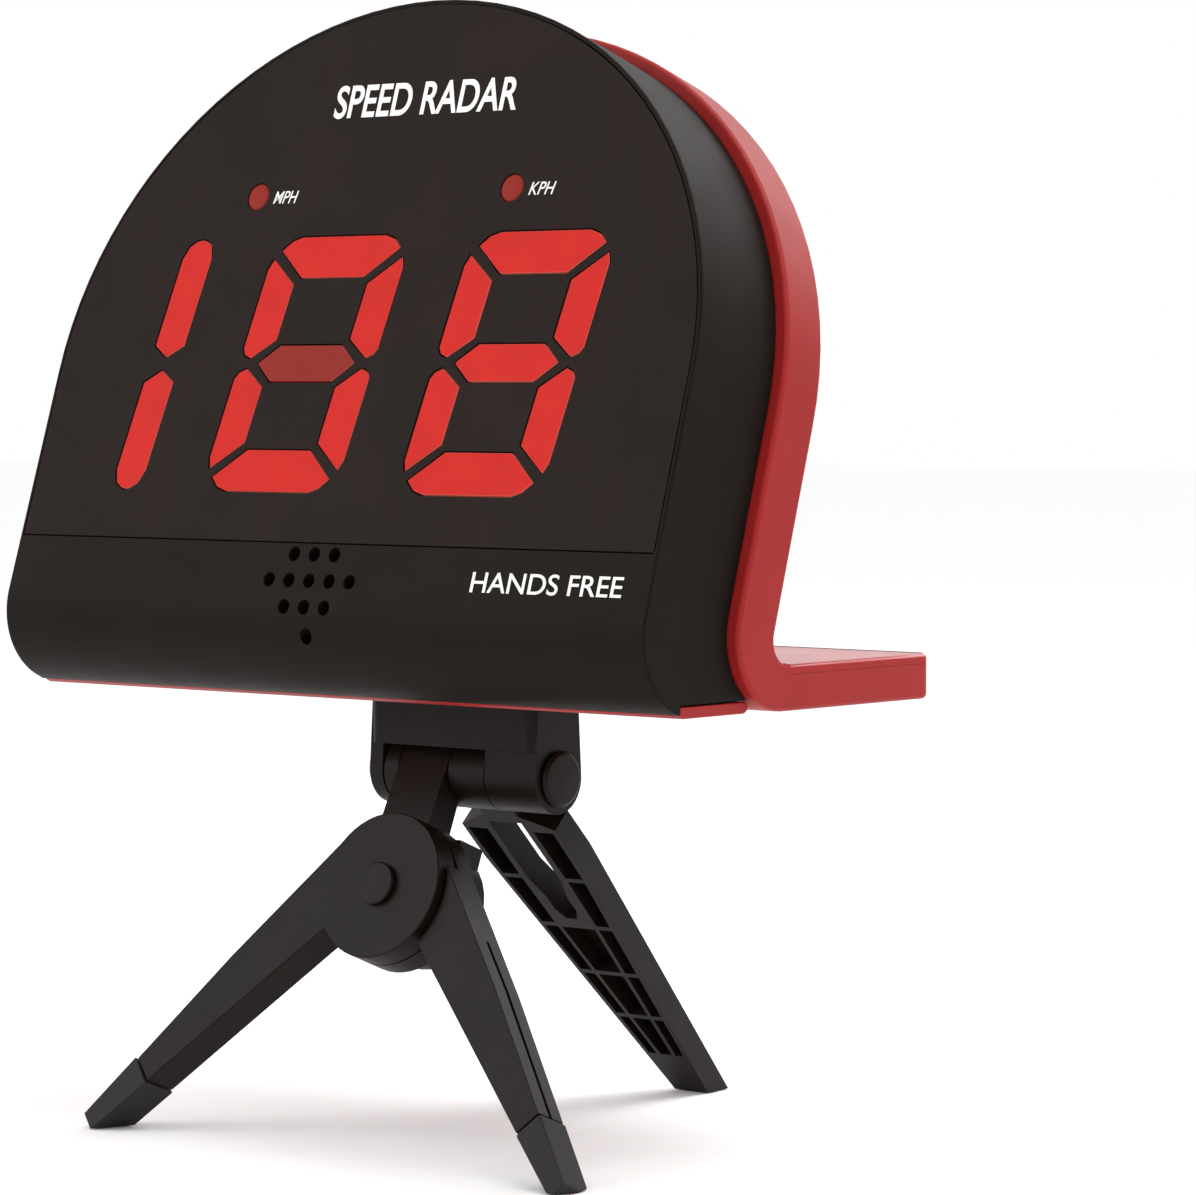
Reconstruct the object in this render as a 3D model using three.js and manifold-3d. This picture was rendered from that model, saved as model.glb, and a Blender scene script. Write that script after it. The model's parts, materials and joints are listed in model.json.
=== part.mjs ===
// Tabletop sports speed radar: a leaning D-shaped display head with an L-shaped rear cover,
// carried on a folding mini tripod. Millimetres, +Z up, the display faces -Y.
import * as THREE from 'three';
import { mergeVertices } from 'three/addons/utils/BufferGeometryUtils.js';
import Module from 'manifold-3d';

const wasm = await Module();
wasm.setup();

// ---------------------------------------------------------------- driving dimensions
const DEG = Math.PI / 180;
const GAP = 0.3;

// Head. Its own frame leans back about X; the seam between window and fascia is z = 0.
const LEAN = 17.6 * DEG;
const SEAM_HEIGHT = 118;
const HALF_WIDTH = 82.5;
const SIDE_TAPER = 0.006;
const SPRING_LINE = 34.1;
const ARCH_RISE = 76;
const ARC_STEPS = 24;
const WALL = 2.4;
const BODY_DEPTH = 23.2;
const ROLL_RADIUS = 14.8;
const BASE_LEVEL = -30.3;
const OUTLINE_FLOOR = -60;
const PLATE_FRONT = 6.4;
const PLATE_BACK = 26.6;
const PLATE_THICKNESS = 2.2;
const HEAD_TOP = 118;
const CUT_HALF = 90;

// Display window and its figures.
const WINDOW_THICKNESS = 2;
const WINDOW_RIM = 1.1;
const WINDOW_LEDGE = 6;
const FIGURE_SLANT = 0.125;
const FIGURE_MIDDLE = 35.8;
const FIGURE_RISE = 25.9;
const HUNDREDS_X = -66.2;
const TENS_X = -13.9;
const UNITS_X = 37.3;
const LAMP_Z = 70.5;
const LAMP_RADIUS = 2.6;
const MPH_X = -36.3;
const KPH_X = 29.9;

// Boards and shields behind the window: x, y and z extents in the head's frame.
const DISPLAY_BOARD = [-66, 62, 9.3, 10.9, 5, 73];
const MAIN_BOARD = [-58, 58, 13, 14.6, -20, 3];
const MAIN_CHIPS = [[-40, -22, 11.4, 13.2, -14, -2], [24, 40, 11.4, 13.2, -12, 0]];
const ANTENNA_BOARD = [-20, 20, 5.4, 7, 77, 100];
const ANTENNA_PATCHES = [[-10, 83], [10, 83], [-10, 94], [10, 94]];
const SHIELD = [-17, 17, 7.3, 12, 79, 98];
const SHIELD_HOLLOW = [-16, 16, 6, 11.2, 80, 97];
const BUTTON_BOARD = [-30, 30, 25.6, 27, 79, 93];

// Speaker grille in the fascia.
const GRILLE_X = -0.8;
const GRILLE_Z = -7.6;
const GRILLE_PITCH = 5.2;
const GRILLE_ROWS = [3, 5, 3];
const GRILLE_RADIUS = 1.5;
const SENSOR_HOLE_Z = -18.1;

// L-shaped rear cover: a panel behind the body and a level foot.
const PANEL_FRONT = 23.5;
const PANEL_REAR = 34.8;
const PANEL_GROWTH = 2.5;
const PANEL_WALL = 2.4;
const HEEL_RADIUS = 14;
const FOOT_EDGE = 2.2;
const FOOT_CORNER = 4.5;
const FOOT_TOP = -21.6;
const FOOT_END = 82.2;
const FOOT_HALF = 85.1;
const INNER_FILLET = 4.5;
const FOOT_WALL = 3;
const FOOT_HOLLOW_START = 38;
const FOOT_SKIN = 1.6;
const FOOT_SKIN_START = 36.2;
const FOOT_INNER_TOP = FOOT_TOP - FOOT_SKIN - 2 * GAP;
const INSERT_RADIUS = 4.6;
const INSERT_BORE = 3.3;
const PIVOT_Y = 45;

// Battery bay.
const CELL_RADIUS = 7.15;
const CELL_LENGTH = 50.5;
const CELL_PITCH = 14.8;
const CELL_DEPTH = 24.8;
const BAY_HALF = 31.5;
const DOOR_HALF = 34;
const BAY_LOW = 6;
const BAY_HIGH = 66;
const BAY_MIDDLE = (BAY_LOW + BAY_HIGH) / 2;

// Case screws and buttons, in the head's frame.
const SCREW_PLACES = [[-70, 8], [70, 8], [-54, 80], [54, 80]];
const SCREW_HEAD_RADIUS = 3;
const SHANK_RADIUS = 1.3;
const CASE_SCREW_LENGTH = 14;
const FOOT_SCREW_LENGTH = 6;
const BOSS_RADIUS = 3.6;
const BOSS_END = 29.6;
const PILOT_RADIUS = 1.7;
const CLEARANCE_RADIUS = 1.9;
const SLEEVE_RADIUS = 5;
const FOOT_SCREW_HEAD = 2.7;
const BUTTON_NAMES = ['button_power', 'button_units', 'button_mode'];
const BUTTON_PITCH = 18;
const BUTTON_Z = 86;
const BUTTON_RADIUS = 4.4;

// Tripod.
const BARREL_Z = -47;
const BARREL_RADIUS = 7;
const KNUCKLE_RELIEF = 7.4;
const PLATFORM_RISE = 5.5;
const PIN_RADIUS = 2.6;
const RIVET = new THREE.Vector3(0, 16.4, -66.8);
const RAKE = 21.7 * DEG;
const SPREAD = 46.5 * DEG;
const DISC_RADIUS = 14.7;
const DISC_THICKNESS = 5.2;
const LEG_LENGTH = 80.8;
const BLADE_REACHES = [14.6, 10.8, 4.4];
const BLADE_KNEE = 36;
const BLADE_TIP = 80;
const BLADE_INNER = -0.7;
const SIDE_GROOVE = { from: 24, depth: 0.9, half: 0.4 };
const TONGUE_INSET = 1.6;
const RIVET_HOLE = 2.9;
const BOOT_START = 65;
const REAR_SWING = 44.5 * DEG;
const REAR_X = 3.4;
const REAR_LENGTH = 105;
const REAR_SHOULDER = 22;
const REAR_ROOT_HALF = 12.2;
const REAR_TAPER = 0.105;
const REAR_WALL = 1.1;
const REAR_SIDE_POCKETS = [[13, 27], [28.2, 42], [43.2, 57], [58.2, 71], [72.2, 84]];
const REAR_MIDDLE_POCKETS = [[43.2, 57], [58.2, 71], [72.2, 84]];
const REAR_SLOT = [
  [-4.3, -10.5], [4.3, -10.5], [4.3, -28], [2.8, -33.5], [2.8, -37.5], [1.4, -40.2],
  [-1.4, -40.2], [-2.8, -37.5], [-2.8, -33.5], [-4.3, -28],
];
const BARREL_STATIONS = {
  leftEar: [-22, -18.6],
  washer: [-18.3, -14.4],
  hubKnuckle: [-14.1, -1.5],
  rearKnuckle: [-1.2, 8],
  rightEar: [8.3, 21.5],
};

// ---------------------------------------------------------------- solids
function toSolid(geometry) {
  const bare = geometry.clone();
  bare.deleteAttribute('normal');
  bare.deleteAttribute('uv');
  const merged = mergeVertices(bare, 1e-3);
  return new wasm.Manifold(new wasm.Mesh({
    numProp: 3,
    vertProperties: new Float32Array(merged.attributes.position.array),
    triVerts: new Uint32Array(merged.index.array),
  }));
}

function toGeometry(solid) {
  const { vertProperties, triVerts } = solid.getMesh();
  const geometry = new THREE.BufferGeometry();
  geometry.setAttribute('position', new THREE.BufferAttribute(vertProperties, 3));
  geometry.setIndex(new THREE.BufferAttribute(triVerts, 1));
  geometry.computeVertexNormals();
  return geometry;
}

const cut = (solid, ...tools) => tools.reduce((rest, tool) => rest.subtract(tool), solid);
const join = (solid, ...others) => others.reduce((sum, other) => sum.add(other), solid);

function extrude(shape, length, steps = ARC_STEPS) {
  return new THREE.ExtrudeGeometry(shape, { depth: length, bevelEnabled: false, curveSegments: steps });
}

// A shape drawn in x, z and pushed from y0 back to y1.
function frontal(shape, y0, y1, steps) {
  return toSolid(extrude(shape, y1 - y0, steps).rotateX(Math.PI / 2).translate(0, y1, 0));
}

// A shape drawn in y, z and pushed from x0 to x1.
function lateral(shape, x0, x1, steps) {
  const turn = new THREE.Matrix4().makeBasis(
    new THREE.Vector3(0, 1, 0),
    new THREE.Vector3(0, 0, 1),
    new THREE.Vector3(1, 0, 0),
  );
  return toSolid(extrude(shape, x1 - x0, steps).applyMatrix4(turn).translate(x0, 0, 0));
}

// A shape drawn in x, y and raised from z0 to z1.
function level(shape, z0, z1, steps) {
  return toSolid(extrude(shape, z1 - z0, steps).translate(0, 0, z0));
}

function block(x0, x1, y0, y1, z0, z1) {
  const geometry = new THREE.BoxGeometry(x1 - x0, y1 - y0, z1 - z0);
  return toSolid(geometry.translate((x0 + x1) / 2, (y0 + y1) / 2, (z0 + z1) / 2));
}

function rodX(radius, x0, x1, y, z, sides = 28) {
  const geometry = new THREE.CylinderGeometry(radius, radius, x1 - x0, sides).rotateZ(-Math.PI / 2);
  return toSolid(geometry.translate((x0 + x1) / 2, y, z));
}

function rodY(radius, y0, y1, x, z, sides = 14) {
  const geometry = new THREE.CylinderGeometry(radius, radius, y1 - y0, sides);
  return toSolid(geometry.translate(x, (y0 + y1) / 2, z));
}

function rodZ(radius, z0, z1, x, y, sides = 14) {
  const geometry = new THREE.CylinderGeometry(radius, radius, z1 - z0, sides).rotateX(Math.PI / 2);
  return toSolid(geometry.translate(x, y, (z0 + z1) / 2));
}

// A turned piece about Z: pairs of radius and height, closed on the axis.
function turned(profile, sides = 16) {
  const points = profile.map(([r, z]) => new THREE.Vector2(r, z));
  return new THREE.LatheGeometry(points, sides).rotateX(Math.PI / 2);
}

function polygon(points) {
  return new THREE.Shape(points.map(([a, b]) => new THREE.Vector2(a, b)));
}

function roundedRectangle(x0, y0, x1, y1, r) {
  const shape = new THREE.Shape();
  shape.absarc(x1 - r, y0 + r, r, -Math.PI / 2, 0, false);
  shape.absarc(x1 - r, y1 - r, r, 0, Math.PI / 2, false);
  shape.absarc(x0 + r, y1 - r, r, Math.PI / 2, Math.PI, false);
  shape.absarc(x0 + r, y0 + r, r, Math.PI, Math.PI * 1.5, false);
  shape.closePath();
  return shape;
}

// ---------------------------------------------------------------- materials and scene helpers
const COLOURS = {
  case_black: [0x2b2725, 0.55, 0],
  window_black: [0x262322, 0.7, 0],
  case_red: [0xa52e2c, 0.45, 0],
  lamp_red: [0xd63930, 0.35, 0],
  tripod_black: [0x231f1e, 0.5, 0],
  boot_rubber: [0x1c1a19, 0.9, 0],
  circuit_green: [0x1f5a35, 0.6, 0],
  steel: [0x9a9a9c, 0.35, 1],
  brass: [0xb08d4a, 0.35, 1],
  cell_wrap: [0x8a8a8e, 0.4, 0],
};

function part(parent, name, look, solid) {
  const [color, roughness, metalness] = COLOURS[look];
  const material = new THREE.MeshStandardMaterial({ color, roughness, metalness });
  material.name = look;
  const geometry = solid.isBufferGeometry ? solid : toGeometry(solid);
  const mesh = new THREE.Mesh(geometry, material);
  mesh.name = name;
  parent.add(mesh);
  return mesh;
}

// ---------------------------------------------------------------- head: shared outlines
// The D outline in x, z, grown outward and carried down to a given level.
function dOutline(growth, bottom) {
  const half = (z) => HALF_WIDTH - SIDE_TAPER * z + growth;
  const shape = new THREE.Shape();
  shape.moveTo(half(bottom), bottom);
  shape.lineTo(half(SPRING_LINE), SPRING_LINE);
  shape.absellipse(0, SPRING_LINE, half(SPRING_LINE), ARCH_RISE + growth, 0, Math.PI, false, 0);
  shape.lineTo(-half(bottom), bottom);
  shape.closePath();
  return shape;
}

// A point of the leaning frame, y and z, in the level frame.
function leaned(y, z) {
  return [y * Math.cos(LEAN) + z * Math.sin(LEAN), -y * Math.sin(LEAN) + z * Math.cos(LEAN)];
}

// The y of the leaning plane "depth" at a level z.
const leaningY = (depth, z) => (depth + z * Math.sin(LEAN)) / Math.cos(LEAN);

const intoLean = (solid) => solid.rotate([LEAN / DEG, 0, 0]);
const outOfLean = (solid) => solid.rotate([-LEAN / DEG, 0, 0]);

const rollCentreZ = BASE_LEVEL + ROLL_RADIUS;
const rollCentreY = leaningY(ROLL_RADIUS, rollCentreZ);
const heelCentreZ = BASE_LEVEL + HEEL_RADIUS;
const heelCentreY = leaningY(PANEL_FRONT + HEEL_RADIUS, heelCentreZ);
const LEAN_START = Math.PI - LEAN;

// The face and the rolled chin of the black body in side view, moved in by "inset".
function faceAndChin(inset) {
  const shape = new THREE.Shape();
  shape.absarc(rollCentreY, rollCentreZ, ROLL_RADIUS - inset, LEAN_START, Math.PI * 1.5, false);
  return shape;
}

// Side profile of the black body, level frame: its rear follows the heel of the cover.
function bodyProfile() {
  const reach = HEEL_RADIUS + GAP;
  const lipZ = BASE_LEVEL + 2.3;
  const lipAngle = Math.PI + Math.asin((heelCentreZ - lipZ) / reach);
  const shape = faceAndChin(0);
  shape.lineTo(heelCentreY + reach * Math.cos(lipAngle), BASE_LEVEL);
  shape.absarc(heelCentreY, heelCentreZ, reach, lipAngle, LEAN_START, true);
  shape.lineTo(...leaned(BODY_DEPTH, HEAD_TOP));
  shape.lineTo(...leaned(0, HEAD_TOP));
  shape.closePath();
  return shape;
}

// The hollow of the body, open to the rear.
function hollowProfile(inset) {
  const shape = faceAndChin(inset);
  shape.lineTo(FOOT_END, BASE_LEVEL + inset);
  shape.lineTo(...leaned(FOOT_END, HEAD_TOP));
  shape.lineTo(...leaned(inset, HEAD_TOP));
  shape.closePath();
  return shape;
}

// ---------------------------------------------------------------- head: seven-segment figures
// Outlines of the bars before the slant: x from the figure's centre, z from its middle.
const CAP_BAR = [
  [-15.5, 23.2], [-13.4, 25.1], [-10.9, FIGURE_RISE], [10.9, FIGURE_RISE],
  [13.4, 25.1], [15.5, 23.2], [8.2, 17.6], [-8.2, 17.6],
];
const COLUMN_BAR = [
  [16.9, 21.4], [17.8, 19.3], [17.8, 3.2], [17, 1.9], [15.2, 1.1], [9.8, 4.9], [9.8, 16.1],
];
const ROUND_BAR = [
  [9.8, 21.9], [10.9, 24.6], [12.5, 25.6], [13.8, FIGURE_RISE], [15.1, 25.6], [16.7, 24.6],
  [17.8, 21.9], [17.8, 3.9], [13.8, 1.4], [9.8, 3.9],
];
const MIDDLE_BAR = [[-12.7, 0], [-8, 3.65], [8, 3.65], [12.7, 0], [8, -3.65], [-8, -3.65]];

const flipped = (outline, flipX, flipZ) => outline.map(([x, z]) => [x * flipX, z * flipZ]);

const ALL_BARS = [
  CAP_BAR, flipped(CAP_BAR, 1, -1), MIDDLE_BAR,
  COLUMN_BAR, flipped(COLUMN_BAR, 1, -1), flipped(COLUMN_BAR, -1, 1), flipped(COLUMN_BAR, -1, -1),
];
const ONE_BARS = [ROUND_BAR, flipped(ROUND_BAR, 1, -1)];

const FIGURES = [
  { name: 'digit_hundreds', centre: HUNDREDS_X, bars: ONE_BARS, from: 2, to: 20 },
  { name: 'digit_tens', centre: TENS_X, bars: ALL_BARS, from: -20, to: 20 },
  { name: 'digit_units', centre: UNITS_X, bars: ALL_BARS, from: -20, to: 20 },
];

// The outlines of a figure in the head's frame, each moved outward by a clearance.
function figureOutlines(figure, clearance) {
  return figure.bars.map((bar) => cleared(bar, clearance).map(([x, z]) => [
    figure.centre + x + z * FIGURE_SLANT,
    FIGURE_MIDDLE + z,
  ]));
}

// An outline moved outward by a clearance, measured from its own middle.
function cleared(points, clearance) {
  const xs = points.map((p) => p[0]);
  const zs = points.map((p) => p[1]);
  const cx = (Math.min(...xs) + Math.max(...xs)) / 2;
  const cz = (Math.min(...zs) + Math.max(...zs)) / 2;
  const growX = 1 + clearance / (Math.max(...xs) - cx);
  const growZ = 1 + clearance / (Math.max(...zs) - cz);
  return points.map(([x, z]) => [cx + (x - cx) * growX, cz + (z - cz) * growZ]);
}

function orderedPolygon(points) {
  return polygon(THREE.ShapeUtils.isClockWise(points.map(([x, z]) => new THREE.Vector2(x, z)))
    ? [...points].reverse()
    : points);
}

// ---------------------------------------------------------------- head: parts
function frontHousing() {
  const solidOutline = outOfLean(frontal(dOutline(0, OUTLINE_FLOOR), -10, 70));
  const outer = lateral(bodyProfile(), -CUT_HALF, CUT_HALF).intersect(solidOutline);
  const hollowOutline = outOfLean(frontal(dOutline(-WALL, OUTLINE_FLOOR), -10, 70));
  const hollow = lateral(hollowProfile(WALL * 2), -CUT_HALF, CUT_HALF);
  const inside = hollow.intersect(hollowOutline);
  const recess = frontal(dOutline(-WINDOW_RIM + GAP, -GAP), -5, WINDOW_THICKNESS + GAP);
  const aperture = frontal(dOutline(-WINDOW_LEDGE, WINDOW_LEDGE), -5, 8);
  const basePlateSeat = block(
    -CUT_HALF, CUT_HALF, PLATE_FRONT - GAP, 40, BASE_LEVEL - 5, BASE_LEVEL + PLATE_THICKNESS + GAP,
  );
  let shell = cut(outer, inside, basePlateSeat, outOfLean(recess), outOfLean(aperture));
  for (const [x, z] of SCREW_PLACES) {
    const boss = rodY(BOSS_RADIUS, WALL, BOSS_END, x, z, 16);
    const pilot = rodY(PILOT_RADIUS, BOSS_END - 18, BOSS_END + 2, x, z, 12);
    shell = shell.add(outOfLean(boss)).subtract(outOfLean(pilot));
  }
  for (const [x, z] of grillePlaces()) {
    shell = shell.subtract(outOfLean(rodY(GRILLE_RADIUS, -4, 12, x, z, 10)));
  }
  return intoLean(shell);
}

function grillePlaces() {
  const places = [[0, SENSOR_HOLE_Z]];
  GRILLE_ROWS.forEach((count, row) => {
    for (let i = 0; i < count; i += 1) {
      places.push([GRILLE_X + (i - (count - 1) / 2) * GRILLE_PITCH, GRILLE_Z + (1 - row) * GRILLE_PITCH]);
    }
  });
  return places;
}

function displayWindow() {
  const through = [-1, WINDOW_THICKNESS + 1];
  let pane = frontal(dOutline(-WINDOW_RIM, 0), 0, WINDOW_THICKNESS);
  for (const figure of FIGURES) {
    for (const outline of figureOutlines(figure, GAP)) {
      pane = pane.subtract(frontal(orderedPolygon(outline), ...through));
    }
  }
  for (const x of [MPH_X, KPH_X]) {
    pane = pane.subtract(rodY(LAMP_RADIUS + GAP, ...through, x, LAMP_Z));
  }
  return pane;
}

function digitModule(figure) {
  const { centre, from, to } = figure;
  const reach = FIGURE_RISE + 2;
  const body = block(
    centre + from, centre + to, WINDOW_THICKNESS + GAP, 9, FIGURE_MIDDLE - reach, FIGURE_MIDDLE + reach,
  );
  const bars = figureOutlines(figure, 0).map((outline) => frontal(orderedPolygon(outline), 0.1, 4));
  return join(body, ...bars);
}

function indicatorLamp(x) {
  return join(rodY(LAMP_RADIUS, 0.5, 9, x, LAMP_Z, 18), rodY(LAMP_RADIUS * 0.75, 0.15, 2, x, LAMP_Z, 18));
}

function displayBoard() {
  return block(...DISPLAY_BOARD);
}

function mainBoard() {
  return join(block(...MAIN_BOARD), ...MAIN_CHIPS.map((extent) => block(...extent)));
}

function radarAntenna() {
  return join(
    block(...ANTENNA_BOARD),
    ...ANTENNA_PATCHES.map(([x, z]) => block(x - 5, x + 5, 5.1, 5.9, z - 4, z + 4)),
  );
}

function antennaShield() {
  return cut(block(...SHIELD), block(...SHIELD_HOLLOW));
}

function speaker() {
  return join(rodY(10.5, 7.4, 9, GRILLE_X, GRILLE_Z, 20), rodY(7, 8.6, 12, GRILLE_X, GRILLE_Z, 16));
}

function basePlate() {
  const chamfer = 0.7;
  const corner = 1.6;
  const top = BASE_LEVEL + PLATE_THICKNESS;
  const shape = new THREE.Shape();
  shape.moveTo(PLATE_FRONT, BASE_LEVEL + chamfer);
  shape.lineTo(PLATE_FRONT + 1.2, BASE_LEVEL);
  shape.lineTo(PLATE_BACK - corner, BASE_LEVEL);
  shape.absarc(PLATE_BACK - corner, BASE_LEVEL + corner, corner, -Math.PI / 2, 0, false);
  shape.lineTo(PLATE_BACK - 0.6, top);
  shape.lineTo(PLATE_FRONT, top);
  shape.closePath();
  return lateral(shape, -HALF_WIDTH, HALF_WIDTH, 4);
}

// Side profile of the L: leaning panel, round heel, level foot and an inner fillet.
function coverProfile() {
  const filletZ = FOOT_TOP + INNER_FILLET;
  const filletY = leaningY(PANEL_REAR + INNER_FILLET, filletZ);
  const shape = new THREE.Shape();
  shape.absarc(heelCentreY, heelCentreZ, HEEL_RADIUS, LEAN_START, Math.PI * 1.5, false);
  shape.absarc(FOOT_END - FOOT_EDGE, BASE_LEVEL + FOOT_EDGE, FOOT_EDGE, -Math.PI / 2, 0, false);
  shape.absarc(FOOT_END - FOOT_EDGE, FOOT_TOP - FOOT_EDGE, FOOT_EDGE, 0, Math.PI / 2, false);
  shape.absarc(filletY, filletZ, INNER_FILLET, Math.PI * 1.5, LEAN_START, true);
  shape.lineTo(...leaned(PANEL_REAR, HEAD_TOP));
  shape.lineTo(...leaned(PANEL_FRONT, HEAD_TOP));
  shape.closePath();
  return shape;
}

function coverBlank() {
  const outline = outOfLean(frontal(dOutline(PANEL_GROWTH, OUTLINE_FLOOR), 10, 120));
  const plan = level(roundedRectangle(-FOOT_HALF, -80, FOOT_HALF, FOOT_END, FOOT_CORNER), -60, 160, 5);
  return lateral(coverProfile(), -CUT_HALF, CUT_HALF, 8).intersect(outline).intersect(plan);
}

const FOOT_SCREWS = [[-72, 44], [72, 44], [-72, 74], [72, 74]];

function rearCover() {
  const panelHollow = frontal(dOutline(-1.2, 0), 20, PANEL_REAR - PANEL_WALL);
  const hollowHalf = FOOT_HALF - FOOT_WALL;
  const footHollow = block(
    -hollowHalf, hollowHalf, FOOT_HOLLOW_START, FOOT_END - FOOT_WALL, BASE_LEVEL + 2.2, FOOT_TOP + 1,
  );
  const skinSeat = block(-90, 90, FOOT_SKIN_START - GAP, 120, FOOT_TOP - FOOT_SKIN - GAP, FOOT_TOP + 3);
  const seatOutline = roundedRectangle(-DOOR_HALF - 0.4, BAY_LOW - 0.8, DOOR_HALF + 0.4, BAY_HIGH + 0.4, 2);
  const doorSeat = outOfLean(frontal(seatOutline, 30, 40, 4));
  let cover = cut(coverBlank(), outOfLean(panelHollow), footHollow, skinSeat, doorSeat);
  for (const [x, z] of SCREW_PLACES) {
    const sleeve = rodY(SLEEVE_RADIUS, BOSS_END + GAP, PANEL_REAR - 1, x, z, 16);
    const drill = rodY(CLEARANCE_RADIUS, 25, 40, x, z, 12);
    const counterbore = rodY(SCREW_HEAD_RADIUS + 0.5, PANEL_REAR - 2.6, 40, x, z, 16);
    cover = cover.add(outOfLean(sleeve)).subtract(outOfLean(drill)).subtract(outOfLean(counterbore));
  }
  for (const x of buttonPlaces()) {
    cover = cover.subtract(outOfLean(rodY(BUTTON_RADIUS + GAP, 20, 40, x, BUTTON_Z, 18)));
  }
  const boss = rodZ(7.5, BASE_LEVEL + 1, FOOT_INNER_TOP, 0, PIVOT_Y, 24);
  const insertHole = rodZ(INSERT_RADIUS + GAP, BASE_LEVEL - 2, FOOT_TOP, 0, PIVOT_Y, 24);
  cover = cover.add(boss).subtract(insertHole);
  for (const [x, y] of FOOT_SCREWS) {
    cover = cover.add(rodZ(BOSS_RADIUS, BASE_LEVEL + 1, FOOT_INNER_TOP, x, y, 14));
    cover = cover.subtract(rodZ(PILOT_RADIUS, BASE_LEVEL - 2, FOOT_TOP, x, y, 12));
    cover = cover.subtract(rodZ(FOOT_SCREW_HEAD + 0.4, BASE_LEVEL - 2, BASE_LEVEL + 2, x, y, 14));
  }
  return cover;
}

function footCover() {
  const seat = block(-90, 90, FOOT_SKIN_START, 120, FOOT_TOP - FOOT_SKIN, FOOT_TOP + 3);
  return coverBlank().intersect(seat);
}

// A pan-head screw along +Z with its head at the bottom.
function screw(headRadius, shankRadius, length) {
  return turned([
    [0, 0], [headRadius * 0.8, 0], [headRadius, 0.7], [headRadius, 1.6],
    [shankRadius, 1.6], [shankRadius, length - 1], [0, length],
  ], 10);
}

function buttonPlaces() {
  return BUTTON_NAMES.map((name, i) => (i - 1) * BUTTON_PITCH);
}

function button(x) {
  return join(
    rodY(BUTTON_RADIUS, 28.6, PANEL_REAR + 0.9, x, BUTTON_Z, 18),
    rodY(BUTTON_RADIUS + 1.3, 30.6, 31.8, x, BUTTON_Z, 18),
  );
}

function buttonBoard() {
  return join(
    block(...BUTTON_BOARD),
    ...buttonPlaces().map((x) => rodY(2, 26.5, 27.7, x, BUTTON_Z, 12)),
  );
}

function batteryBox() {
  return cut(
    block(-BAY_HALF, BAY_HALF, 16.2, 31.8, BAY_LOW, BAY_HIGH),
    block(-BAY_HALF + 1.4, BAY_HALF - 1.4, 17.4, 40, BAY_LOW + 1.4, BAY_HIGH - 1.4),
  );
}

function batteryCell() {
  const shoulder = CELL_LENGTH - 1.5;
  const nub = 2.7;
  return turned([
    [0, 0], [CELL_RADIUS - 0.6, 0], [CELL_RADIUS, 0.6], [CELL_RADIUS, shoulder - 0.7],
    [CELL_RADIUS - 0.9, shoulder], [nub, shoulder], [nub, CELL_LENGTH - 0.1], [0, CELL_LENGTH],
  ], 14);
}

function contactStrip(z0, z1) {
  return block(-BAY_HALF + 1.8, BAY_HALF - 1.8, 19, 30.5, z0, z1);
}

function batteryDoor() {
  const plate = frontal(roundedRectangle(-DOOR_HALF, BAY_LOW, DOOR_HALF, BAY_HIGH, 2.8), 32.5, PANEL_REAR, 4);
  const thumbGroove = lateral(roundedRectangle(PANEL_REAR - 0.8, 57, PANEL_REAR + 3, 61, 0.7), -9, 9, 4);
  return plate.subtract(thumbGroove);
}

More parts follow.
